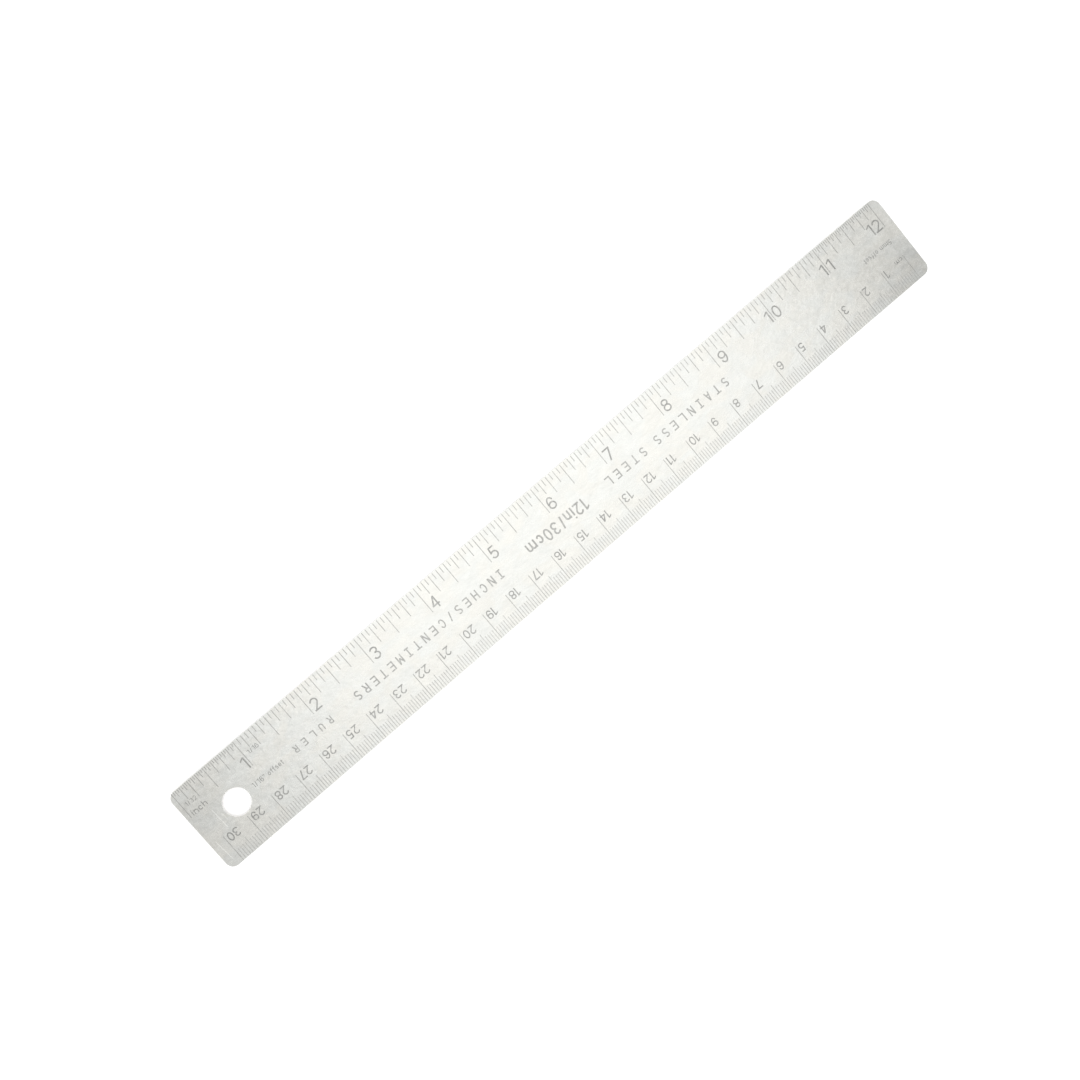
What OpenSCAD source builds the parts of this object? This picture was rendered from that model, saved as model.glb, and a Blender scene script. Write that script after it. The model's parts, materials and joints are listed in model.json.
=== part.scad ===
// Flexible steel ruler with a cork backing, marked in inches and centimetres.
// Frame: +X along the ruler, away from the hang hole; +Y towards the inch edge; +Z up, marked face up.
// The origin is under the middle of the ruler, on the surface that the cork rests on.

/* [Blade] */
// Length of the steel blade
blade_length = 310; // [309:0.5:318]
// Width of the steel blade
blade_width = 31.75; // [31:0.25:38]
// Thickness of the steel blade
blade_thickness = 0.5; // [0.3:0.1:1.5]
// Radius of the blade's four corners
corner_radius = 3; // [1:0.5:6]
// Width of the broken edge along the outline and the hole
edge_break = 0.08; // [0.04:0.01:0.12]

/* [Hang hole] */
// Diameter of the hole through the blade
hole_diameter = 9.525; // [6:0.025:10]
// Distance from the end of the blade to the middle of the hole
hole_inset = 15.5; // [12:0.5:16]
// Diameter of the opening in the cork round the hole
cork_hole_diameter = 13; // [11:0.5:16]

/* [Backing] */
// Thickness of the cork strip
cork_thickness = 0.8; // [0.5:0.1:2]
// Width of the cork strip
cork_width = 25.4; // [20:0.2:28]
// Bare steel left at each end of the cork strip
cork_end_gap = 3; // [2:0.5:8]
// Thickness of the adhesive film
adhesive_thickness = 0.1; // [0.05:0.05:0.2]

/* [Etching] */
// Depth of the etched marks below the marked face
etch_depth = 0.05; // [0.03:0.01:0.1]
// Thickness of the enamel in the etched marks
enamel_thickness = 0.04; // [0.02:0.01:0.05]
// Width of every scale line
line_width = 0.26; // [0.15:0.01:0.3]
// Steel left between the lines and the edge
line_inset = 0.2; // [0.15:0.05:0.4]

/* [Inch scale] */
// Distance from the end with the hole to the zero line
inch_offset = 1.5875; // [1.5:0.0125:2]
// Length of the whole-inch lines, from the edge
inch_line = 10.3; // [10:0.1:10.5]
// Length of the half-inch lines
half_inch_line = 8.2; // [7.5:0.1:9]
// Length of the quarter-inch lines
quarter_inch_line = 6.6; // [6:0.1:7.4]
// Length of the eighth-inch lines
eighth_inch_line = 4.9; // [4:0.1:5.1]
// Length of the sixteenth-inch lines
sixteenth_inch_line = 2.55; // [2:0.05:3.5]
// Length of the thirty-second-inch lines
thirty_second_inch_line = 1.5; // [1:0.05:1.9]
// Height of the inch numerals
inch_numeral_height = 4.4; // [3.5:0.1:4.5]

/* [Centimetre scale] */
// Distance from the end without a hole to the zero line
metric_offset = 5; // [4.5:0.1:6]
// Length of the centimetre lines, from the edge
cm_line = 10.2; // [9.8:0.1:10.5]
// Length of the half-centimetre lines
half_cm_line = 5.6; // [5:0.1:6]
// Length of the millimetre lines
mm_line = 4.2; // [3.5:0.1:4.8]
// Height of the centimetre numerals
cm_numeral_height = 3.1; // [2.6:0.1:3.4]

/* [Words] */
// Height of the "1/32" and "1/16" beside the inch lines
fraction_height = 1.55; // [1.3:0.05:1.6]
// Height of the notes about the two offsets
note_height = 1.83; // [1.6:0.01:2.2]
// Height of the capitals in the words
word_height = 3.27; // [2.8:0.01:3.6]
// Distance from one capital to the next
word_pitch = 3.82; // [3.6:0.01:4]
// Height of the size note in the middle
size_note_height = 4.4; // [3.6:0.1:5]
// Height of the word between the offset note and the unit words
type_word_height = 2.6; // [2.2:0.1:3]

/* [Hidden] */
$fn = 48;
INCH = 25.4;
INCHES = 12;
THIRTY_SECONDS = 32;
MILLIMETRES = 300;
CM = 10;

cork_length = blade_length - 2 * cork_end_gap;
adhesive_z = cork_thickness;
blade_z = adhesive_z + adhesive_thickness;
face_z = blade_z + blade_thickness;
etch_z = face_z - etch_depth;
edge_y = blade_width / 2;
hole_x = -blade_length / 2 + hole_inset;
inch_zero_x = -blade_length / 2 + inch_offset;
metric_zero_x = blade_length / 2 - metric_offset;
inch_base_y = edge_y - inch_line;
metric_base_y = -edge_y + cm_line;

// Strokes, as a share of the height of what they draw
numeral_stroke = 0.117;
word_stroke = 0.138;
label_stroke = 0.145;
note_stroke = 0.13;
// Width of a digit and the gap between two digits, as shares of the height
digit_width = 0.65;
digit_gap = 0.13;
// Pitch of the capitals in the unit words and the type word
narrow_pitch = 0.94 * word_pitch;
// Steel between a line and the label after it
fraction_gaps = [1.25, 1.4];
inch_label_gap = 0.95;
cm_label_gap = 0.75;
// Where lettering starts, along the ruler and across it
fraction_y = inch_base_y + 3.6;
inch_note_x = inch_zero_x + 21;
inch_note_y = -0.4;
metric_note_x = metric_zero_x - 0.1;
metric_note_y = 1.54;
word_y = 2.38;
stainless_x = 73.3;
steel_x = 36.4;
unit_words_x = -26.9;
size_note_x = 10.8;
size_note_y = 2.6;
type_word_x = -99.9;
type_word_y = 1.9;
// Room that each label fills from end to end
fraction_span = 4.2;
inch_span = 5.9;
cm_span = 3.3;
inch_note_span = 12.4;
metric_note_span = 12.2;
size_note_span = 25.6;
// Legs stop this far short of an arch's outside, so that the two cross instead of touching
leg_inset = 0.012;
// How far the cutters stand out past the faces that they cut
over = 0.1;

// ---- Strokes that the characters are drawn with ----

module bar(x, y, w, h) {
    translate([x, y]) square([w, h]);
}

// A leaning stroke that is w wide, from its lower left corner to its upper left corner
module slant(x0, y0, x1, y1, w) {
    polygon([[x0, y0], [x0 + w, y0], [x1 + w, y1], [x1, y1]]);
}

module oval(w, h) {
    scale([w / h, 1]) circle(d = h);
}

// A ring that is w by h outside, centred at x, y
module ring(x, y, w, h, s) {
    translate([x, y]) difference() {
        oval(w, h);
        oval(w - 2 * s, h - 2 * s);
    }
}

// A pie slice from angle a to angle b, big enough to cut any character
module wedge(x, y, r, a, b) {
    step = (b - a) / 4;
    rim = [for (k = [0:4]) [x + 2 * r * cos(a + k * step), y + 2 * r * sin(a + k * step)]];
    polygon(concat([[x, y]], rim));
}

// A ring with the part from angle a to angle b left out
module open_ring(x, y, w, h, s, a, b) {
    difference() {
        ring(x, y, w, h, s);
        wedge(x, y, max(w, h), a, b);
    }
}

// A bow that closes on a stem at x = 0, as in R, with its middle at y
module bow(y, w, h, s) {
    start = w - h / 2;
    difference() {
        ring(start, y, h, h, s);
        bar(start - h, y - h, h, 2 * h);
    }
    for (edge = [y - h / 2, y + h / 2 - s])
        bar(0, edge + leg_inset, start + s / 4, s - 2 * leg_inset);
}

// An arch of height h with two legs down to 0, or with only its right leg
module arch(x, w, h, s, left_leg = true) {
    crown = min(h, w) / 2;
    difference() {
        ring(x + w / 2, h - crown, w, 2 * crown, s);
        bar(x - s, -h, w + 2 * s, 2 * h - crown);
    }
    bar(x + w - s + leg_inset, 0, s - 2 * leg_inset, h - crown + s / 4);
    if (left_leg) bar(x + leg_inset, 0, s - 2 * leg_inset, h - crown + s / 4);
}

// ---- Digits: w wide, h high, with strokes s wide ----

module digit_1(w, h, s) {
    bar(w - s, 0, s, h);
    flag = 0.72 * h;
    slope = (h - flag - s) / (w - s);
    polygon([[0, flag], [w - s / 2, flag + slope * (w - s / 2)], [w - s / 2, h], [w - s, h], [0, flag + s]]);
}

module digit_2(w, h, s) {
    open_ring(w / 2, 0.69 * h, w, 0.62 * h, s, 168, 318);
    polygon([[0.07 * w, s / 2], [0.07 * w + 1.15 * s, s / 2],
        [0.886 * w, 0.505 * h], [0.886 * w - 0.64 * s, 0.505 * h + 0.57 * s]]);
    bar(0, 0, w, s);
}

module digit_3(w, h, s) {
    waist = 0.53 * h;
    upper = h - waist + 0.42 * s;
    lower = waist + 0.5 * s;
    open_ring(w / 2, h - upper / 2, 0.94 * w, upper, s, 165, 262);
    open_ring(w / 2, lower / 2, w, lower, s, 98, 195);
}

module digit_4(w, h, s) {
    stem = 0.64 * w;
    bar(0, 0.24 * h, w, s);
    bar(stem, 0, s, h);
    slant(0, 0.24 * h + s / 2, stem - 0.2 * s, h, 1.2 * s);
}

module digit_5(w, h, s) {
    bar(0.2 * w, h - s, 0.72 * w, s);
    slant(0.1 * w, 0.46 * h, 0.2 * w, h, s);
    open_ring(w / 2, 0.32 * h, w, 0.64 * h, s, 140, 200);
}

module digit_6(w, h, s) {
    ring(w / 2, 0.31 * h, w, 0.62 * h, s);
    open_ring(w / 2, h / 2, w, h, s, 205, 400);
}

module digit_7(w, h, s) {
    bar(0, h - s, w, s);
    slant(0.2 * w, 0, w - 1.15 * s, h - s / 2, 1.15 * s);
}

module digit_8(w, h, s) {
    waist = 0.53 * h;
    upper = h - waist + 0.42 * s;
    lower = waist + 0.5 * s;
    ring(w / 2, h - upper / 2, 0.9 * w, upper, s);
    ring(w / 2, lower / 2, w, lower, s);
}

module digit_9(w, h, s) {
    translate([w, h]) rotate(180) digit_6(w, h, s);
}

module digit(c, w, h, s) {
    if (c == "0") ring(w / 2, h / 2, w, h, s);
    if (c == "1") digit_1(w, h, s);
    if (c == "2") digit_2(w, h, s);
    if (c == "3") digit_3(w, h, s);
    if (c == "4") digit_4(w, h, s);
    if (c == "5") digit_5(w, h, s);
    if (c == "6") digit_6(w, h, s);
    if (c == "7") digit_7(w, h, s);
    if (c == "8") digit_8(w, h, s);
    if (c == "9") digit_9(w, h, s);
}

// ---- Capitals ----

module capital_A(w, h, s) {
    slant(0, 0, (w - s) / 2, h, s);
    slant(w - s, 0, (w - s) / 2, h, s);
    bar(0.2 * w, 0.27 * h, 0.6 * w, s);
}

module capital_R(w, h, s) {
    bar(0, 0, s, h);
    bow(0.74 * h, 0.96 * w, 0.52 * h, s);
    slant(w - 1.2 * s, 0, 0.4 * w, 0.5 * h, 1.2 * s);
}

module capital_S(w, h, s) {
    waist = 0.52 * h;
    upper = h - waist + 0.42 * s;
    lower = waist + 0.5 * s;
    open_ring(w / 2, h - upper / 2, 0.94 * w, upper, s, -72, 32);
    open_ring(w / 2, lower / 2, w, lower, s, 108, 208);
}

module capital(c, w, h, s) {
    if (c == "A") capital_A(w, h, s);
    if (c == "C") open_ring(w / 2, h / 2, w, h, s, -40, 40);
    if (c == "E" || c == "L") bar(0, 0, s, h);
    if (c == "E" || c == "L") bar(0, 0, w, s);
    if (c == "E") bar(0, h - s, w, s);
    if (c == "E") bar(0, 0.5 * h - s / 2, 0.85 * w, s);
    if (c == "H" || c == "M" || c == "N") bar(0, 0, s, h);
    if (c == "H" || c == "M" || c == "N") bar(w - s, 0, s, h);
    if (c == "H") bar(s / 2, 0.5 * h - s / 2, w - s, s);
    if (c == "I") bar((w - s) / 2, 0, s, h);
    if (c == "I") bar(0.1 * w, 0, 0.8 * w, s);
    if (c == "I") bar(0.1 * w, h - s, 0.8 * w, s);
    if (c == "M") slant((w - s) / 2, 0.35 * h, 0, h, s);
    if (c == "M") slant((w - s) / 2, 0.35 * h, w - s, h, s);
    if (c == "N") slant(w - 1.2 * s, 0, 0, h, 1.2 * s);
    if (c == "R") capital_R(w, h, s);
    if (c == "S") capital_S(w, h, s);
    if (c == "T") bar((w - s) / 2, 0, s, h);
    if (c == "T") bar(0, h - s, w, s);
    if (c == "U") translate([w, h]) rotate(180) arch(0, w, h, s);
    if (c == "/") slant(0.15 * w, 0, 0.85 * w - s, h, s);
}

// ---- Small letters, whose bodies are 0.7 of the height h ----

module small_e(w, x_height, s) {
    open_ring(w / 2, x_height / 2, w, x_height, s, -38, -9);
    bar(s / 2, x_height / 2 - s / 2, w - s, s);
}

module small_f(w, h, x_height, s) {
    open_ring(w + 0.1 * s, h - 0.6 * w, 1.4 * w, 1.2 * w, s, -180, 90);
    bar(0.3 * w + 0.1 * s + leg_inset, 0, s - 2 * leg_inset, h - 0.6 * w + s / 4);
    bar(0, x_height - s, w, s);
}

module small_m(w, h, s) {
    bar(0, 0, s, h);
    arch(leg_inset, (w + s) / 2 - leg_inset, h - leg_inset, s, false);
    arch((w - s) / 2 + leg_inset, (w + s) / 2 - leg_inset, h - leg_inset, s, false);
}

module small_t(w, h, x_height, s) {
    bar(0.25 * w, 0, s, 0.95 * h);
    bar(0, x_height - s, w, s);
    bar(0.25 * w, 0, 0.7 * w, s);
}

module small(c, w, h, s) {
    x_height = 0.7 * h;
    if (c == "c") open_ring(w / 2, x_height / 2, w, x_height, s, -40, 40);
    if (c == "e") small_e(w, x_height, s);
    if (c == "f") small_f(w, h, x_height, s);
    if (c == "h") bar(0, 0, s, h);
    if (c == "h" || c == "n") arch(leg_inset, w - leg_inset, x_height - leg_inset, s, false);
    if (c == "i") bar((w - s) / 2, 0, s, x_height);
    if (c == "i") bar((w - s) / 2, h - s, s, s);
    if (c == "m") small_m(w, x_height, s);
    if (c == "n") bar(0, 0, s, x_height);
    if (c == "o") ring(w / 2, x_height / 2, w, x_height, s);
    if (c == "s") capital_S(w, x_height, s);
    if (c == "t") small_t(w, h, x_height, s);
}

module inch_sign(w, h, s) {
    bar(0, 0.66 * h, s, 0.34 * h);
    bar(w - s, 0.66 * h, s, 0.34 * h);
}

// ---- Lines of characters ----

module character(c, w, h, s) {
    digit(c, w, h, s);
    capital(c, w, h, s);
    small(c, w, h, s);
    if (c == "\"") inch_sign(w, h, s);
}

// Width of a character as a share of its height
function share(c) =
    c == "m" ? 0.95 :
    c == "i" ? 0.16 :
    c == " " ? 0.3 :
    c == "f" || c == "t" || c == "\"" ? 0.38 :
    c == "1" ? 0.4 :
    c == "/" ? 0.48 :
    c == "c" || c == "e" || c == "h" || c == "n" || c == "o" || c == "s" ? 0.56 :
    digit_width;

// Total share of the characters before number i
function share_before(text, i) = i == 0 ? 0 : share(text[i - 1]) + share_before(text, i - 1);

// Characters at their own widths, stretched to fill a span from 0
module label(text, span, h, s) {
    last = len(text) - 1;
    gap = 0.16 * h;
    stretch = (span - last * gap) / share_before(text, last + 1);
    for (i = [0:last])
        translate([stretch * share_before(text, i) + i * gap, 0])
            character(text[i], stretch * share(text[i]), h, s);
}

// Capitals of one width at one pitch, centred on their own places, the first at 0
module even_word(text, pitch, h, s) {
    w = 0.62 * h;
    for (i = [0:len(text) - 1])
        translate([i * pitch - w / 2, 0]) character(text[i], w, h, s);
}

// Turns lettering to read from the other edge, starting at x
module from_metric_side(x, y) {
    translate([x, y]) rotate(180) children();
}

// ---- Outlines of the marks, seen from above ----

function inch_rank(i) =
    i % 32 == 0 ? 0 :
    i % 16 == 0 ? 1 :
    i % 8 == 0 ? 2 :
    i % 4 == 0 ? 3 :
    i % 2 == 0 ? 4 : 5;
// Thirty-seconds are cut only in the first and the last inch
function is_cut(i) = i % 2 == 0 || i < THIRTY_SECONDS || i > (INCHES - 1) * THIRTY_SECONDS;
function mm_rank(i) = i % 10 == 0 ? 0 : i % 5 == 0 ? 1 : 2;

module inch_scale(rank, length) {
    for (i = [0:INCHES * THIRTY_SECONDS])
        if (inch_rank(i) == rank && is_cut(i))
            bar(inch_zero_x + i * INCH / THIRTY_SECONDS - line_width / 2, edge_y - length,
                line_width, length - line_inset);
}

module metric_scale(rank, length) {
    for (i = [0:MILLIMETRES])
        if (mm_rank(i) == rank)
            bar(metric_zero_x - i - line_width / 2, line_inset - edge_y, line_width, length - line_inset);
}

// Steel between an inch line and its numeral
function inch_gap(n) = n < 8 ? 1.05 : n == 8 ? 1.33 : 1.7;

module inch_figures() {
    h = inch_numeral_height;
    s = numeral_stroke * h;
    w = digit_width * h;
    one = share("1") * h;
    near = 0.7;
    step = w + digit_gap * h;
    function line_x(n) = inch_zero_x + n * INCH;
    // Numerals 1 and 12 stand before their lines, 2 to 9 after them, 10 and 11 on both sides
    translate([line_x(1) - near - one, inch_base_y]) digit("1", one, h, s);
    for (n = [2:9]) translate([line_x(n) + inch_gap(n), inch_base_y]) digit(str(n), w, h, s);
    for (n = [10, 11]) translate([line_x(n) - near - one, inch_base_y]) digit("1", one, h, s);
    translate([line_x(10) + near, inch_base_y]) digit("0", w, h, s);
    translate([line_x(11) + near, inch_base_y]) digit("1", one, h, s);
    translate([line_x(12) - near - w, inch_base_y]) digit("2", w, h, s);
    translate([line_x(12) - near - step - one, inch_base_y]) digit("1", one, h, s);
}

module cm_figures() {
    h = cm_numeral_height;
    s = 1.12 * numeral_stroke * h;
    near = 0.85;
    for (n = [1:MILLIMETRES / CM]) {
        text = str(n);
        units = text[len(text) - 1];
        units_w = share(units) * h;
        // Reading from the metric side, the numeral ends just before its line
        from_metric_side(metric_zero_x - n * CM + near + units_w, metric_base_y) {
            digit(units, units_w, h, s);
            if (len(text) == 2) {
                tens_w = share(text[0]) * h;
                translate([-digit_gap * h - tens_w, 0]) digit(text[0], tens_w, h, s);
            }
        }
    }
}

module fractions() {
    s = note_stroke * fraction_height;
    texts = ["1/32", "1/16"];
    for (i = [0, 1])
        translate([inch_zero_x + i * INCH + fraction_gaps[i], fraction_y])
            label(texts[i], fraction_span, fraction_height, s);
}

module unit_names() {
    inch_h = 2.15;
    cm_h = 1.8;
    translate([inch_zero_x + inch_label_gap, inch_base_y])
        label("inch", inch_span, inch_h, label_stroke * inch_h);
    from_metric_side(metric_zero_x - cm_label_gap, metric_base_y)
        label("cm", cm_span, cm_h, label_stroke * cm_h);
}

module offset_lines() {
    h = note_height;
    s = note_stroke * h;
    translate([inch_note_x, inch_note_y]) label("1/16\" offset", inch_note_span, h, s);
    from_metric_side(metric_note_x, metric_note_y) label("5mm offset", metric_note_span, h, s);
}

module material_line() {
    s = word_stroke * word_height;
    from_metric_side(stainless_x, word_y) even_word("STAINLESS", word_pitch, word_height, s);
    from_metric_side(steel_x, word_y) even_word("STEEL", word_pitch, word_height, s);
}

module unit_line() {
    s = word_stroke * word_height;
    from_metric_side(unit_words_x, word_y)
        even_word("INCHES/CENTIMETERS", narrow_pitch, word_height, s);
}

module size_line() {
    h = size_note_height;
    from_metric_side(size_note_x, size_note_y) label("12in/30cm", size_note_span, h, word_stroke * h);
}

module type_line() {
    h = type_word_height;
    from_metric_side(type_word_x, type_word_y) even_word("RULER", narrow_pitch, h, word_stroke * h);
}

// ---- Solids ----

// A slab with a broken edge all round, of which size is the outline's size
module bevelled_run(size, along, thickness) {
    b = edge_break;
    right_side = [[size / 2 - b, 0], [size / 2, b], [size / 2, thickness - b], [size / 2 - b, thickness]];
    left_side = [for (i = [3:-1:0]) [-right_side[i].x, right_side[i].y]];
    translate([-along / 2, 0, 0]) rotate([90, 0, 90]) linear_extrude(height = along)
        polygon(concat(right_side, left_side));
}

module bevelled_disc(r, thickness) {
    b = edge_break;
    rotate_extrude()
        polygon([[0, 0], [r - b, 0], [r, b], [r, thickness - b], [r - b, thickness], [0, thickness]]);
}

module blade_blank() {
    x = blade_length / 2 - corner_radius;
    y = blade_width / 2 - corner_radius;
    bevelled_run(blade_width, 2 * x, blade_thickness);
    rotate(90) bevelled_run(blade_length, 2 * y, blade_thickness);
    for (i = [-1, 1])
        for (j = [-1, 1])
            translate([i * x, j * y, 0]) bevelled_disc(corner_radius, blade_thickness);
}

// The hang hole, wider at both faces by the broken edge
module hole_cutter() {
    r = hole_diameter / 2;
    b = edge_break;
    t = blade_thickness;
    wide = r + b + over;
    translate([hole_x, 0, 0]) rotate_extrude()
        polygon([[0, -over], [wide, -over], [r, b], [r, t - b], [wide, t + over], [0, t + over]]);
}

module etching() {
    translate([0, 0, etch_z]) linear_extrude(height = etch_depth + over) children();
}

module enamel() {
    color([0.42, 0.42, 0.41]) translate([0, 0, etch_z]) linear_extrude(height = enamel_thickness) children();
}

module backing_strip(length, thickness) {
    difference() {
        translate([-length / 2, -cork_width / 2, 0]) cube([length, cork_width, thickness]);
        translate([hole_x, 0, -over]) cylinder(d = cork_hole_diameter, h = thickness + 2 * over);
    }
}

// ---- Sub-parts ----

module blade() {
    color([0.82, 0.83, 0.80]) difference() {
        translate([0, 0, blade_z]) difference() {
            blade_blank();
            hole_cutter();
        }
        etching() inch_scale(0, inch_line);
        etching() inch_scale(1, half_inch_line);
        etching() inch_scale(2, quarter_inch_line);
        etching() inch_scale(3, eighth_inch_line);
        etching() inch_scale(4, sixteenth_inch_line);
        etching() inch_scale(5, thirty_second_inch_line);
        etching() metric_scale(0, cm_line);
        etching() metric_scale(1, half_cm_line);
        etching() metric_scale(2, mm_line);
        etching() inch_figures();
        etching() cm_figures();
        etching() fractions();
        etching() unit_names();
        etching() offset_lines();
        etching() material_line();
        etching() unit_line();
        etching() size_line();
        etching() type_line();
    }
}

module backing_adhesive() {
    color([0.93, 0.88, 0.72]) translate([0, 0, adhesive_z]) backing_strip(cork_length, adhesive_thickness);
}

module cork_backing() {
    color([0.76, 0.58, 0.38]) backing_strip(cork_length, cork_thickness);
}

module inch_lines() { enamel() inch_scale(0, inch_line); }
module half_inch_lines() { enamel() inch_scale(1, half_inch_line); }
module quarter_inch_lines() { enamel() inch_scale(2, quarter_inch_line); }
module eighth_inch_lines() { enamel() inch_scale(3, eighth_inch_line); }
module sixteenth_inch_lines() { enamel() inch_scale(4, sixteenth_inch_line); }
module thirty_second_inch_lines() { enamel() inch_scale(5, thirty_second_inch_line); }
module centimetre_lines() { enamel() metric_scale(0, cm_line); }
module half_centimetre_lines() { enamel() metric_scale(1, half_cm_line); }
module millimetre_lines() { enamel() metric_scale(2, mm_line); }
module inch_numerals() { enamel() inch_figures(); }
module centimetre_numerals() { enamel() cm_figures(); }
module fraction_labels() { enamel() fractions(); }
module unit_labels() { enamel() unit_names(); }
module offset_notes() { enamel() offset_lines(); }
module material_words() { enamel() material_line(); }
module unit_words() { enamel() unit_line(); }
module size_note() { enamel() size_line(); }
module type_word() { enamel() type_line(); }

blade();
backing_adhesive();
cork_backing();
inch_lines();
half_inch_lines();
quarter_inch_lines();
eighth_inch_lines();
sixteenth_inch_lines();
thirty_second_inch_lines();
centimetre_lines();
half_centimetre_lines();
millimetre_lines();
inch_numerals();
centimetre_numerals();
fraction_labels();
unit_labels();
offset_notes();
material_words();
unit_words();
size_note();
type_word();
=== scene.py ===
"""A flexible steel ruler with a cork backing: the looks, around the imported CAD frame.

Frame, in metres: +X along the ruler, away from the hang hole; +Y towards the inch edge; +Z up.
The materials work in millimetres, which they get from the object coordinates.
"""

import json
import math
import random

import bmesh
import bpy
from mathutils import Matrix, Vector, kdtree


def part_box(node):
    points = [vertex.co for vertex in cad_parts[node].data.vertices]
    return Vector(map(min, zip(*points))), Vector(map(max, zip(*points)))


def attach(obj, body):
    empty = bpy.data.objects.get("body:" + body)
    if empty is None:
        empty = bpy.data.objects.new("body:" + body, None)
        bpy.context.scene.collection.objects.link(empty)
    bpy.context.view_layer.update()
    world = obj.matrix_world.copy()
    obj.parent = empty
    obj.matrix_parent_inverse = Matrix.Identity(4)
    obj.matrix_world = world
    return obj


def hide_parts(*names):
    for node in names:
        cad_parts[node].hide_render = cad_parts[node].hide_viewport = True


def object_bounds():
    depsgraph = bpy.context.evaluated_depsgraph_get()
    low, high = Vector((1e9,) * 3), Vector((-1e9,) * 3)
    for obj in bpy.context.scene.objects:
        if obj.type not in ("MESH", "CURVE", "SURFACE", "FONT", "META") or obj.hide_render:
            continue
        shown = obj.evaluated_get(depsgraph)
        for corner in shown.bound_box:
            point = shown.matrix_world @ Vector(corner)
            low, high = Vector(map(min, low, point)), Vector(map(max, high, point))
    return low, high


MM = 0.001

# ---- What the frame gives ----

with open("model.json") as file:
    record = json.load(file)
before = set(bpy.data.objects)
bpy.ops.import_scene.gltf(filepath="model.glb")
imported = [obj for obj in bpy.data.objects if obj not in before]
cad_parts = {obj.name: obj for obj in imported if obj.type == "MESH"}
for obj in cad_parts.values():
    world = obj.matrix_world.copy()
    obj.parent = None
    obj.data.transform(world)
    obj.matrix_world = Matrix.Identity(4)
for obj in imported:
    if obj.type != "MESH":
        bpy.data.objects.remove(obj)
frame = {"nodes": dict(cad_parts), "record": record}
CAD_LOW, CAD_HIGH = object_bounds()
BLADE_LOW, BLADE_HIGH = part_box("blade")
HALF_LENGTH = BLADE_HIGH.x
HALF_WIDTH = BLADE_HIGH.y
FACE_Z = BLADE_HIGH.z
HANG_HOLE = next(m for m in frame["record"]["mounts"] if m["name"] == "hang_hole")
HOLE_X = HANG_HOLE["pos_m"][0]
HOLE_RADIUS = HANG_HOLE["dims"]["r_mm"] * MM

# ---- Shape details that the frame's record doesn't hold ----

CORNER_RADIUS = 3 * MM
EDGE_BREAK = 0.08 * MM
CORK_HOLE_RADIUS = 6.5 * MM
GRANULE_SIZE = 1.35 * MM
CORK_PITCH = 0.36 * MM
SAME_PLACE = 1e-7
SAME_HEIGHT = 1e-8

# ---- The marks, by the tone of their enamel ----

LINE_NODES = [
    "inch_lines", "half_inch_lines", "quarter_inch_lines", "eighth_inch_lines",
    "sixteenth_inch_lines", "thirty_second_inch_lines", "centimetre_lines",
]
FAINT_LINE_NODES = ["half_centimetre_lines", "millimetre_lines"]
FIGURE_NODES = [
    "inch_numerals", "centimetre_numerals",
    "fraction_labels", "unit_labels", "offset_notes",
]
WORD_NODES = ["material_words", "unit_words", "size_note", "type_word"]


# ---- Materials ----


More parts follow.
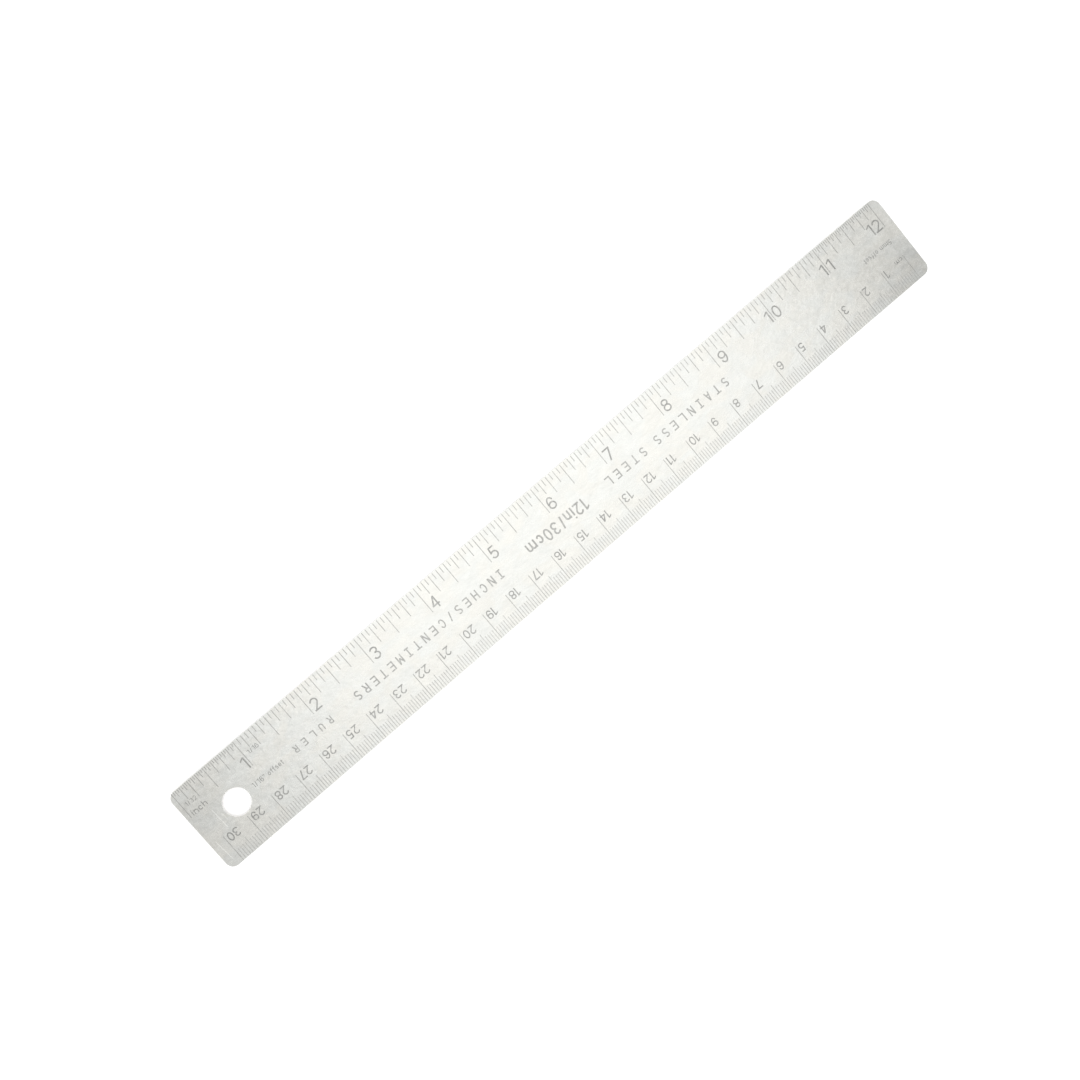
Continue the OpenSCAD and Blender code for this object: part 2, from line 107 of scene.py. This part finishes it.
class Graph:
    """One material's nodes, with a short call for each kind."""

    def __init__(self, name):
        self.material = bpy.data.materials.new(name)
        self.material.use_nodes = True
        self.tree = self.material.node_tree
        self.tree.nodes.clear()
        where = self.add("ShaderNodeTexCoord").outputs["Object"]
        self.place = self.vector("SCALE", where, scale=1 / MM)

    def add(self, kind, **settings):
        node = self.tree.nodes.new(kind)
        for key, value in settings.items():
            setattr(node, key, value)
        return node

    def feed(self, socket, value):
        if isinstance(value, bpy.types.NodeSocket):
            self.tree.links.new(value, socket)
        else:
            socket.default_value = value

    def math(self, operation, *values, clamp=False):
        node = self.add("ShaderNodeMath", operation=operation, use_clamp=clamp)
        for socket, value in zip(node.inputs, values):
            self.feed(socket, value)
        return node.outputs[0]

    def total(self, *values):
        result = values[0]
        for value in values[1:]:
            result = self.math("ADD", result, value)
        return result

    def vector(self, operation, *values, scale=None):
        node = self.add("ShaderNodeVectorMath", operation=operation)
        for socket, value in zip(node.inputs, values):
            self.feed(socket, value[:3] if isinstance(value, tuple) else value)
        if scale is not None:
            self.feed(node.inputs["Scale"], scale)
        return node.outputs["Value" if operation == "LENGTH" else "Vector"]

    def axis(self, place, letter):
        return self.add_linked("ShaderNodeSeparateXYZ", place).outputs[letter]

    def add_linked(self, kind, value):
        node = self.add(kind)
        self.feed(node.inputs[0], value)
        return node

    def noise(self, stretch, detail=2.0, roughness=0.5, distortion=0.0, seed=0.0):
        """Noise with stretch features to the millimetre along X, Y and Z. seed shifts it."""
        place = self.vector("MULTIPLY", self.place, stretch)
        node = self.add("ShaderNodeTexNoise")
        self.feed(node.inputs["Vector"], self.vector("ADD", place, (seed, 2 * seed, 3 * seed)))
        node.inputs["Scale"].default_value = 1.0
        node.inputs["Detail"].default_value = detail
        node.inputs["Roughness"].default_value = roughness
        node.inputs["Distortion"].default_value = distortion
        return node.outputs[0]

    def swing(self, value, amount):
        """value, which runs round a half, as a change round zero of that amount."""
        return self.math("MULTIPLY", self.math("SUBTRACT", value, 0.5), amount)

    def step(self, value, start, end, low=0.0, high=1.0):
        """A smooth step of value from low at start to high at end."""
        node = self.add("ShaderNodeMapRange", interpolation_type="SMOOTHSTEP")
        for socket, number in zip(node.inputs, (value, start, end, low, high)):
            self.feed(socket, number)
        return node.outputs[0]

    def mix(self, share, a, b):
        node = self.add("ShaderNodeMix", data_type="RGBA")
        self.feed(node.inputs[0], share)
        self.feed(node.inputs[6], a)
        self.feed(node.inputs[7], b)
        return node.outputs[2]

    def shade(self, colour, factor):
        """colour times a number."""
        return self.vector("SCALE", colour, scale=factor)

    def bump(self, height, strength, depth):
        node = self.add("ShaderNodeBump")
        node.inputs["Strength"].default_value = strength
        node.inputs["Distance"].default_value = depth * MM
        self.feed(node.inputs["Height"], height)
        return node.outputs[0]

    def finish(self, colour, roughness, normal, **constants):
        shader = self.add("ShaderNodeBsdfPrincipled")
        self.feed(shader.inputs["Base Color"], colour)
        self.feed(shader.inputs["Roughness"], roughness)
        self.feed(shader.inputs["Normal"], normal)
        for name, value in constants.items():
            shader.inputs[name.replace("_", " ")].default_value = value
        output = self.add("ShaderNodeOutputMaterial")
        self.tree.links.new(shader.outputs[0], output.inputs["Surface"])
        return self.material


def rgb(red, green, blue):
    return (red, green, blue, 1.0)


def edge_closeness(g, reach):
    """1 at the blade's outline or the hole's rim, falling to 0 at reach millimetres inside."""
    x = g.math("ABSOLUTE", g.axis(g.place, "X"))
    y = g.math("ABSOLUTE", g.axis(g.place, "Y"))
    from_end = g.math("SUBTRACT", HALF_LENGTH / MM, x)
    from_side = g.math("SUBTRACT", HALF_WIDTH / MM, y)
    flat = g.vector("MULTIPLY", g.place, (1.0, 1.0, 0.0))
    from_middle = g.vector("LENGTH", g.vector("SUBTRACT", flat, (HOLE_X / MM, 0.0, 0.0)))
    from_hole = g.math("SUBTRACT", from_middle, HOLE_RADIUS / MM)
    nearest = g.math("MINIMUM", g.math("MINIMUM", from_end, from_side), from_hole)
    return g.step(nearest, 0.0, reach, 1.0, 0.0)


def scratch(g, start, end, width):
    """A hairline of that width between two points of the marked face, in millimetres."""
    run = Vector(end) - Vector(start)
    node = g.add("ShaderNodeMapping", vector_type="TEXTURE")
    g.feed(node.inputs["Vector"], g.place)
    node.inputs["Location"].default_value = (start[0], start[1], 0.0)
    node.inputs["Rotation"].default_value = (0.0, 0.0, math.atan2(run.y, run.x))
    node.inputs["Scale"].default_value = (run.length, width, 1.0)
    along = g.axis(node.outputs[0], "X")
    across = g.math("ABSOLUTE", g.axis(node.outputs[0], "Y"))
    line = g.step(across, 0.15, 0.6, 1.0, 0.0)
    tail = g.math("MULTIPLY", g.step(along, 0.0, 0.2), g.step(along, 0.8, 1.0, 1.0, 0.0))
    return g.math("MULTIPLY", line, tail)


def scratches(g):
    """Three scratches beside the hole, and fine ones strewn over the face."""
    short = scratch(g, (-145.4, 0.8), (-145.2, -2.8), 0.34)
    marks = [
        scratch(g, (-147.1, 4.4), (-146.7, -5.2), 0.36),
        scratch(g, (-152.9, -4.2), (-152.1, -14.6), 0.36),
        g.math("MULTIPLY", short, 0.7),
    ]
    strewn = random.Random(12)
    for _ in range(16):
        x = strewn.uniform(-148, 148)
        y = strewn.uniform(-13, 13)
        turn = math.radians(strewn.gauss(0, 28))
        length = strewn.uniform(3, 13)
        end = (x + length * math.cos(turn), y + length * math.sin(turn))
        faint = strewn.uniform(0.15, 0.4)
        fine = scratch(g, (x, y), end, strewn.uniform(0.05, 0.09))
        marks.append(g.math("MULTIPLY", fine, faint))
    result = marks[0]
    for mark in marks[1:]:
        result = g.math("MAXIMUM", result, mark)
    return result


def painted_shade_patch(g, x, y, size):
    """A patch of painted shade, of about that size in millimetres, round a point of the marked face."""
    out = g.vector("SUBTRACT", g.place, (x, y, 0.0))
    reach = g.vector("LENGTH", g.vector("MULTIPLY", out, (0.7, 1.0, 0.0)))
    uneven = g.swing(g.noise((0.1, 0.14, 1.0), detail=2, seed=40), 0.6 * size)
    return g.step(g.math("ADD", reach, uneven), 0.1 * size, size, 1.0, 0.0)


def satin_steel():
    """Stainless steel with a satin face: fine grain along the ruler, under a fine mottle, with painted
    shade in two patches and a painted highlight along the edges.
    """
    g = Graph("satin_steel")
    grain = g.noise((0.09, 6.5, 1.0), detail=3)
    mottle = g.noise((0.50, 0.80, 1.0), detail=3, roughness=0.55, distortion=0.8, seed=4)
    ripple = g.noise((0.55, 0.75, 1.0), detail=1, distortion=0.5, seed=33)
    blotch = g.noise((0.20, 0.30, 1.0), detail=2, distortion=0.4, seed=27)
    cloud = g.noise((0.03, 0.09, 1.0), detail=2, seed=9)
    tint = g.step(g.noise((0.13, 0.18, 1.0), detail=2, distortion=0.5, seed=15), 0.36, 0.64)
    lines = scratches(g)
    # Painted shade: a broad darker patch round the metric corner, and a fainter one at the hole's end.
    metric_corner = painted_shade_patch(g, 155.0, -15.9, 24.0)
    hole_end = painted_shade_patch(g, -154.0, 5.0, 13.0)
    patchy = g.noise((0.8, 0.8, 1.0), detail=3, seed=21)
    rubbed = g.math("MULTIPLY", edge_closeness(g, 0.5), patchy)
    # Painted highlight: a narrow lighter band along the outline and the hole's rim.
    painted_edge_highlight = edge_closeness(g, 0.12)

    tone = g.total(
        1.0,
        g.swing(grain, 0.06),
        g.swing(mottle, 0.26),
        g.swing(blotch, 0.12),
        g.swing(cloud, 0.06),
        g.math("MULTIPLY", lines, 0.16),
        g.math("MULTIPLY", rubbed, 0.08),
        # Painted highlight along the edges.
        g.math("MULTIPLY", painted_edge_highlight, 0.45),
        # Painted shade at the metric corner and at the hole's end.
        g.math("MULTIPLY", metric_corner, -0.18),
        g.math("MULTIPLY", hole_end, -0.07),
    )
    hue = g.mix(tint, rgb(0.5175, 0.5125, 0.4830), rgb(0.5090, 0.5130, 0.4930))
    colour = g.shade(hue, tone)

    rough = g.total(0.26, g.swing(mottle, 0.12), g.swing(cloud, 0.06))
    rough = g.math("SUBTRACT", rough, g.math("MULTIPLY", rubbed, 0.06))
    height = g.total(
        ripple,
        g.math("MULTIPLY", grain, 0.08),
        g.math("MULTIPLY", mottle, 0.2),
        g.math("MULTIPLY", blotch, 1.5),
        g.math("MULTIPLY", lines, -0.2),
    )
    normal = g.bump(height, 1.0, 0.029)
    return g.finish(colour, rough, normal, Metallic=1.0)


def enamel(name, colour, worn_colour, seed):
    """Dull paint in the etched marks, thinner and paler in places."""
    g = Graph(name)
    blot = g.noise((1.1, 1.1, 1.0), detail=3, roughness=0.6, seed=seed)
    speck = g.noise((6.0, 6.0, 1.0), detail=2, seed=seed + 5)
    patch = g.noise((0.05, 0.16, 1.0), detail=1, seed=seed + 9)
    worn = g.step(g.total(g.math("MULTIPLY", blot, 0.6), g.math("MULTIPLY", speck, 0.4)), 0.48, 0.66)
    paint = g.mix(worn, colour, worn_colour)
    tone = g.total(1.0, g.swing(blot, 0.25), g.swing(patch, 0.3))
    rough = g.total(0.30, g.swing(speck, 0.12), g.math("MULTIPLY", worn, 0.05))
    normal = g.bump(g.total(blot, g.math("MULTIPLY", speck, 0.7)), 0.6, 0.006)
    return g.finish(g.shade(paint, tone), rough, normal, Metallic=1.0)


def cork_granules():
    """Pressed cork: each granule has its own tan, with dark bark specks and pores."""
    g = Graph("cork_granules")
    tone = g.add("ShaderNodeAttribute", attribute_name="granule_tone").outputs["Fac"]
    groove = g.add("ShaderNodeAttribute", attribute_name="groove").outputs["Fac"]
    pores = g.noise((2.6, 2.6, 2.6), detail=4, roughness=0.65, seed=3)
    bark = g.step(g.noise((1.3, 1.3, 1.3), detail=2, seed=8), 0.66, 0.74)
    light = g.mix(tone, rgb(0.40, 0.235, 0.115), rgb(0.66, 0.455, 0.262))
    dark = rgb(0.115, 0.058, 0.030)
    colour = g.mix(g.math("MULTIPLY", groove, 0.7), light, dark)
    colour = g.mix(g.math("MULTIPLY", bark, 0.75), colour, dark)
    colour = g.shade(colour, g.total(1.0, g.swing(pores, 0.7)))
    rough = g.total(0.82, g.swing(pores, 0.2))
    normal = g.bump(pores, 0.8, 0.06)
    return g.finish(colour, rough, normal, Specular_IOR_Level=0.25)


def amber_adhesive():
    """A film of glue, with streaks and dust in it."""
    g = Graph("amber_adhesive")
    streak = g.noise((0.4, 3.0, 3.0), detail=3, seed=2)
    dust = g.step(g.noise((3.5, 3.5, 3.5), detail=2, seed=6), 0.6, 0.75)
    colour = g.mix(streak, rgb(0.70, 0.60, 0.40), rgb(0.83, 0.75, 0.56))
    colour = g.mix(g.math("MULTIPLY", dust, 0.6), colour, rgb(0.30, 0.24, 0.16))
    rough = g.total(0.42, g.math("MULTIPLY", dust, 0.3))
    normal = g.bump(streak, 0.4, 0.02)
    return g.finish(colour, rough, normal)


def white_board():
    """The plain pale floor, lit a little from inside, so that shadows on it stay faint."""
    g = Graph("white_board")
    fibre = g.noise((0.5, 0.5, 0.5), detail=3, seed=1)
    colour = g.shade(rgb(0.93, 0.93, 0.93), g.total(1.0, g.swing(fibre, 0.01)))
    normal = g.bump(fibre, 0.1, 0.02)
    return g.finish(colour, 0.7, normal, Specular_IOR_Level=0.1, Emission_Strength=0.2)


# ---- Pieces ----


def wear(obj, material):
    obj.data.materials.clear()
    obj.data.materials.append(material)


def new_piece(name, mesh, material):
    piece = bpy.data.objects.new(name, mesh)
    bpy.context.scene.collection.objects.link(piece)
    wear(piece, material)
    return piece


def joined_copy(source):
    """A bmesh of a mesh's shape alone, with the vertices joined that share a place."""
    plain = bpy.data.meshes.new("plain")
    faces = [tuple(p.vertices) for p in source.polygons]
    plain.from_pydata([v.co.copy() for v in source.vertices], [], faces)
    bm = bmesh.new()
    bm.from_mesh(plain)
    bpy.data.meshes.remove(plain)
    bmesh.ops.remove_doubles(bm, verts=bm.verts, dist=0.001 * MM)
    return bm


def on_arc(vert, centre, radii):
    """The one of the radii round centre that vert lies on, or None."""
    reach = (vert.co.xy - centre).length
    return next((r for r in radii if abs(r - reach) < 0.004 * MM), None)


def round_off(bm, centre, radii, quadrant, cuts):
    """Splits the straight steps of an arc into cuts + 1, and sets the new points on its true radius."""
    def inside(vert):
        out = vert.co.xy - centre
        return quadrant is None or (out.x * quadrant.x > -1e-9 and out.y * quadrant.y > -1e-9)

    steps = {}
    for edge in bm.edges:
        a, b = edge.verts
        radius = on_arc(a, centre, radii)
        # A step of the arc lies level on a ridge. A chord across a flat face lies on none.
        on_ridge = abs(a.co.z - b.co.z) < SAME_HEIGHT and edge.calc_face_angle(0) > 0.3
        if radius and on_ridge and radius == on_arc(b, centre, radii) and inside(a) and inside(b):
            steps[edge] = radius
    for radius in radii:
        edges = [e for e, r in steps.items() if r == radius and e.is_valid]
        made = bmesh.ops.subdivide_edges(bm, edges=edges, cuts=cuts)
        for vert in (g for g in made["geom_inner"] if isinstance(g, bmesh.types.BMVert)):
            vert.co.xy = centre + (vert.co.xy - centre).normalized() * radius


def crisp(bm, angle=30):
    """Smooth shading, with every edge sharp that turns by more than angle."""
    for face in bm.faces:
        face.smooth = True
    for edge in bm.edges:
        edge.smooth = len(edge.link_faces) == 2 and edge.calc_face_angle(0) < math.radians(angle)


def steel_blade(material):
    """The CAD blade with its corners and its hole made truly round."""
    bm = joined_copy(frame["nodes"]["blade"].data)
    hole_radii = (HOLE_RADIUS, HOLE_RADIUS + EDGE_BREAK)
    round_off(bm, Vector((HOLE_X, 0.0)), hole_radii, None, cuts=2)
    corner_radii = (CORNER_RADIUS, CORNER_RADIUS - EDGE_BREAK)
    for i in (-1, 1):
        for j in (-1, 1):
            centre = Vector((i * (HALF_LENGTH - CORNER_RADIUS), j * (HALF_WIDTH - CORNER_RADIUS)))
            round_off(bm, centre, corner_radii, Vector((i, j)), cuts=2)
    crisp(bm)
    mesh = bpy.data.meshes.new("steel_blade")
    bm.to_mesh(mesh)
    bm.free()
    return new_piece("steel_blade", mesh, material)


def granule_field(points, low, high):
    """For each point of the strip: its granule's own number from 0 to 1, and how deep in a groove it is."""
    strewn = random.Random(7)
    seeds = []
    across = int((high.y - low.y) / GRANULE_SIZE) + 2
    along = int((high.x - low.x) / GRANULE_SIZE) + 2
    for i in range(along):
        for j in range(across):
            shift = Vector((strewn.uniform(-0.42, 0.42), strewn.uniform(-0.42, 0.42)))
            seeds.append(low.xy + (Vector((i, j)) + shift) * GRANULE_SIZE)
    numbers = [strewn.random() for _ in seeds]
    tree = kdtree.KDTree(len(seeds))
    for index, seed in enumerate(seeds):
        tree.insert(seed.to_3d(), index)
    tree.balance()
    tones, grooves = [], []
    for point in points:
        (_, index, first), (_, _, second) = tree.find_n((point.x, point.y, 0.0), 2)
        tones.append(numbers[index])
        grooves.append(max(0.0, 1.0 - (second - first) / (0.3 * GRANULE_SIZE)))
    return tones, grooves


def cork_strip(material):
    """A strip of pressed granules: an uneven underside, crumbly cut sides and a flat glued top."""
    low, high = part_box("cork_backing")
    columns = round((high.x - low.x) / CORK_PITCH)
    rows = round((high.y - low.y) / CORK_PITCH)
    hole = Vector((HOLE_X, 0.0))
    bm = bmesh.new()
    grid = {}
    for i in range(columns + 1):
        for j in range(rows + 1):
            x = low.x + (high.x - low.x) * i / columns
            y = low.y + (high.y - low.y) * j / rows
            if (Vector((x, y)) - hole).length > CORK_HOLE_RADIUS - 0.6 * CORK_PITCH:
                grid[i, j] = bm.verts.new((x, y, low.z))
    for i in range(columns):
        for j in range(rows):
            corners = [grid.get(c) for c in ((i, j), (i, j + 1), (i + 1, j + 1), (i + 1, j))]
            if None not in corners:
                bm.faces.new(corners)
    bmesh.ops.delete(bm, geom=[v for v in bm.verts if not v.link_faces], context="VERTS")
    for vert in bm.verts:
        out = vert.co.xy - hole
        on_rim = vert.is_boundary and out.length < CORK_HOLE_RADIUS + 1.5 * MM
        if on_rim or out.length < CORK_HOLE_RADIUS + 0.5 * CORK_PITCH:
            vert.co.xy = hole + out.normalized() * CORK_HOLE_RADIUS
    return finish_cork(bm, low, high, hole, material)


def finish_cork(bm, low, high, hole, material):
    """Raises the walls from the underside's rim, closes the top and presses the granules in."""
    height = high.z - low.z
    rim = [e for e in bm.edges if e.is_boundary]
    for level in (0.5, 1.0):
        made = bmesh.ops.extrude_edge_only(bm, edges=rim)["geom"]
        rim = [g for g in made if isinstance(g, bmesh.types.BMEdge)]
        for vert in {v for e in rim for v in e.verts}:
            vert.co.z = low.z + level * height
    bmesh.ops.triangle_fill(bm, edges=rim, use_beauty=False)
    bmesh.ops.recalc_face_normals(bm, faces=bm.faces)
    bm.verts.index_update()
    tones, grooves = granule_field([v.co for v in bm.verts], low, high)
    for vert, tone, groove in zip(bm.verts, tones, grooves):
        vert.co += pressed(vert.co, tone, groove, low, high, hole)
    crisp(bm, 50)
    mesh = bpy.data.meshes.new("cork_strip")
    bm.to_mesh(mesh)
    bm.free()
    for name, values in (("granule_tone", tones), ("groove", grooves)):
        mesh.attributes.new(name, "FLOAT", "POINT").data.foreach_set("value", values)
    return new_piece("cork_strip", mesh, material)


def pressed(place, tone, groove, low, high, hole):
    """How far a point of the cork sits in from the flat CAD strip."""
    if high.z - place.z < SAME_PLACE:
        return Vector((0.0, 0.0, 0.0))
    sunk = (0.05 * tone + 0.09 * groove) * MM
    ragged = (0.10 * tone + 0.12 * groove) * MM
    shift = Vector((0.0, 0.0, 0.0))
    if place.z - low.z < SAME_PLACE:
        shift.z = sunk
    if min(place.x - low.x, high.x - place.x) < SAME_PLACE:
        shift.x = -math.copysign(ragged, place.x)
    if min(place.y - low.y, high.y - place.y) < SAME_PLACE:
        shift.y = -math.copysign(ragged, place.y)
    out = place.xy - hole
    if abs(out.length - CORK_HOLE_RADIUS) < 0.01 * MM:
        shift.xy = out.normalized() * ragged
    return shift


def dress_marks():
    """A tone of enamel for each kind of mark: the figures darkest, the millimetre lines palest."""
    for name, nodes, painted, worn, seed in (
        ("line_enamel", LINE_NODES, rgb(0.30, 0.30, 0.287), rgb(0.41, 0.41, 0.392), 3),
        ("faint_enamel", FAINT_LINE_NODES, rgb(0.355, 0.355, 0.34), rgb(0.465, 0.465, 0.445), 17),
        ("figure_enamel", FIGURE_NODES, rgb(0.25, 0.25, 0.24), rgb(0.37, 0.37, 0.354), 11),
        ("word_enamel", WORD_NODES, rgb(0.28, 0.28, 0.268), rgb(0.395, 0.395, 0.377), 29),
    ):
        material = enamel(name, painted, worn, seed)
        for node in nodes:
            wear(frame["nodes"][node], material)


# ---- Stage ----

CAMERA_AIM = Vector((-9.39 * MM, 0.77 * MM, FACE_Z))
CAMERA_DISTANCE = 432.35 * MM
CAMERA_LENS = 43.33
CAMERA_LEAN = -135.01
CAMERA_TILT = 7.54
CAMERA_ROLL = 94.76
SOFTBOX_PLACE = Vector((0.103, 0.008, 1.0))
SOFTBOX_SIZE = (0.785, 0.50)
SOFTBOX_RADIANCE = 0.965
HORIZON_RADIANCE = 1.24
ZENITH_RADIANCE = 1.10


def turn(degrees, letter):
    return Matrix.Rotation(math.radians(degrees), 4, letter)


def add_camera():
    """Nearly overhead, leaning a little from the hole's end and the inch edge."""
    data = bpy.data.cameras.new("camera")
    data.lens = CAMERA_LENS
    data.clip_start = 0.01
    data.clip_end = 20.0
    camera = bpy.data.objects.new("camera", data)
    bpy.context.scene.collection.objects.link(camera)
    facing = turn(CAMERA_LEAN, "Z") @ turn(CAMERA_TILT, "X") @ turn(CAMERA_ROLL, "Z")
    back = facing.col[2].to_3d()
    camera.matrix_world = Matrix.Translation(CAMERA_AIM + back * CAMERA_DISTANCE) @ facing
    bpy.context.scene.camera = camera


def add_softbox():
    """A rectangular light overhead, facing the middle of the ruler."""
    data = bpy.data.lights.new("overhead", "AREA")
    data.shape = "RECTANGLE"
    data.size, data.size_y = SOFTBOX_SIZE
    data.energy = SOFTBOX_RADIANCE * SOFTBOX_SIZE[0] * SOFTBOX_SIZE[1] * math.pi
    light = bpy.data.objects.new("overhead", data)
    bpy.context.scene.collection.objects.link(light)
    light.location = SOFTBOX_PLACE
    straight_down = Vector((0.0, 0.0, -1.0))
    light.rotation_euler = straight_down.rotation_difference(-SOFTBOX_PLACE).to_euler()
    light.visible_camera = False


def add_sky():
    """Even light from all round, a little stronger near the horizon. The camera sees a plain pale one."""
    world = bpy.data.worlds.new("studio")
    bpy.context.scene.world = world
    world.use_nodes = True
    tree = world.node_tree
    tree.nodes.clear()
    where = tree.nodes.new("ShaderNodeTexCoord")
    split = tree.nodes.new("ShaderNodeSeparateXYZ")
    ramp = tree.nodes.new("ShaderNodeMapRange")
    ramp.interpolation_type = "SMOOTHSTEP"
    for socket, number in zip(ramp.inputs[1:], (0.25, 0.85, HORIZON_RADIANCE, ZENITH_RADIANCE)):
        socket.default_value = number
    seen = tree.nodes.new("ShaderNodeLightPath")
    pick = tree.nodes.new("ShaderNodeMix")
    pick.inputs[3].default_value = 1.0
    light = tree.nodes.new("ShaderNodeBackground")
    light.inputs["Color"].default_value = rgb(1.0, 1.0, 1.0)
    output = tree.nodes.new("ShaderNodeOutputWorld")
    tree.links.new(where.outputs["Generated"], split.inputs[0])
    tree.links.new(split.outputs["Z"], ramp.inputs[0])
    tree.links.new(seen.outputs["Is Camera Ray"], pick.inputs[0])
    tree.links.new(ramp.outputs[0], pick.inputs[2])
    tree.links.new(pick.outputs[0], light.inputs["Strength"])
    tree.links.new(light.outputs[0], output.inputs["Surface"])


def add_floor(material):
    """A wide round board, just under the ruler."""
    bm = bmesh.new()
    bmesh.ops.create_circle(bm, cap_ends=True, radius=7.0, segments=96)
    for vert in bm.verts:
        vert.co.z = CAD_LOW.z - 0.02 * MM
    mesh = bpy.data.meshes.new("floor")
    bm.to_mesh(mesh)
    bm.free()
    new_piece("floor", mesh, material)


# ---- The build ----

bpy.context.scene.view_settings.view_transform = "Standard"
add_camera()
add_sky()
add_floor(white_board())
add_softbox()

blade = steel_blade(satin_steel())
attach(blade, "root")
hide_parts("blade")

cork = cork_strip(cork_granules())
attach(cork, "root")
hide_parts("cork_backing")

wear(frame["nodes"]["backing_adhesive"], amber_adhesive())
dress_marks()
